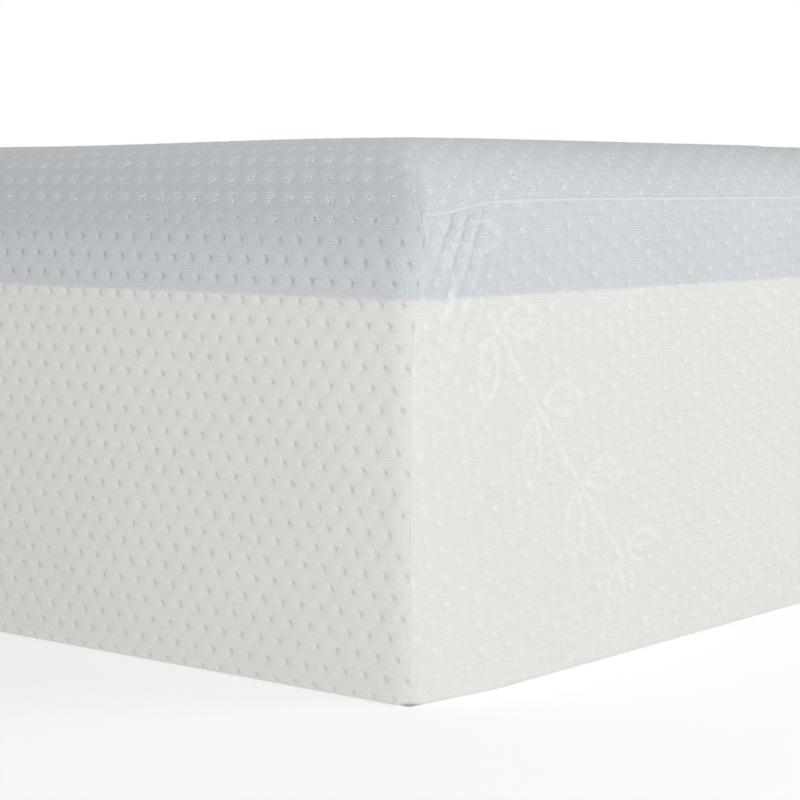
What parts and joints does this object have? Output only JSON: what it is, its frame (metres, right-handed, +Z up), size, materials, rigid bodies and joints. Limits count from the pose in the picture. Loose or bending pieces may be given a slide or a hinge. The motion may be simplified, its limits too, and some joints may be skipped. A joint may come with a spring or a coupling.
{
  "type": "memory foam mattress",
  "caption": "Rectangular mattress of a soft blue memory foam layer bonded on a firm foam core, in a zipped off-white knitted cover.",
  "frame": {"origin": "middle of the underside, on the surface that the mattress lies on", "axes": "+X along the length, +Y across the width towards the zip, +Z up through the sleeping surface"},
  "size_m": [1.9014, 0.9052, 0.183],
  "materials": {
    "cover_cloth": "off-white double-jersey knit with small quilted dimples, matt with faint yarn glints",
    "base_cloth": "plain off-white warp-knit base cloth, matt",
    "seam_cloth": "turned seam of the same knitted cloth",
    "memory_foam": "pale blue open-cell viscoelastic foam, matt",
    "support_foam": "cream open-cell polyurethane foam, matt",
    "adhesive": "thin clear sprayed bond",
    "zip_tape": "off-white woven polyester tape",
    "zip_coil": "off-white nylon monofilament",
    "zip_metal": "satin zinc casting with a nickel finish",
    "thread": "white spun polyester thread",
    "label": "blank white satin ribbon, slightly glossy"
  },
  "bodies": {
    "mattress": {"support_core": "support_foam", "memory_layer": "memory_foam", "adhesive_film": "adhesive", "cover_main_panel": "cover_cloth", "cover_base_panel": "base_cloth", "cover_end_panel_right": "cover_cloth", "cover_end_panel_left": "cover_cloth", "end_seam_right": "seam_cloth", "end_seam_left": "seam_cloth", "base_seam": "seam_cloth", "zip_tape_upper": "zip_tape", "zip_tape_lower": "zip_tape", "zip_coil_upper": "zip_coil", "zip_coil_lower": "zip_coil", "zip_stop_right": "zip_metal", "zip_stop_left": "zip_metal", "zip_stitching_upper": "thread", "zip_stitching_lower": "thread", "zip_bartacks": "thread", "care_label": "label", "care_label_stitching": "thread"},
    "slider": {"zip_slider_body": "zip_metal"},
    "pull_tab": {"zip_pull_tab": "zip_metal"}
  },
  "joints": [
    {"name": "zip_slide", "type": "slide", "parent": "mattress", "child": "slider", "axis": [1, 0, 0], "range_m": [0, 1.81]},
    {"name": "pull_tab_hinge", "type": "hinge", "parent": "slider", "child": "pull_tab", "pos_m": [-0.905, 0.45305, 0.019], "axis": [0, 0, 1], "range_deg": [0, 170]}
  ]
}
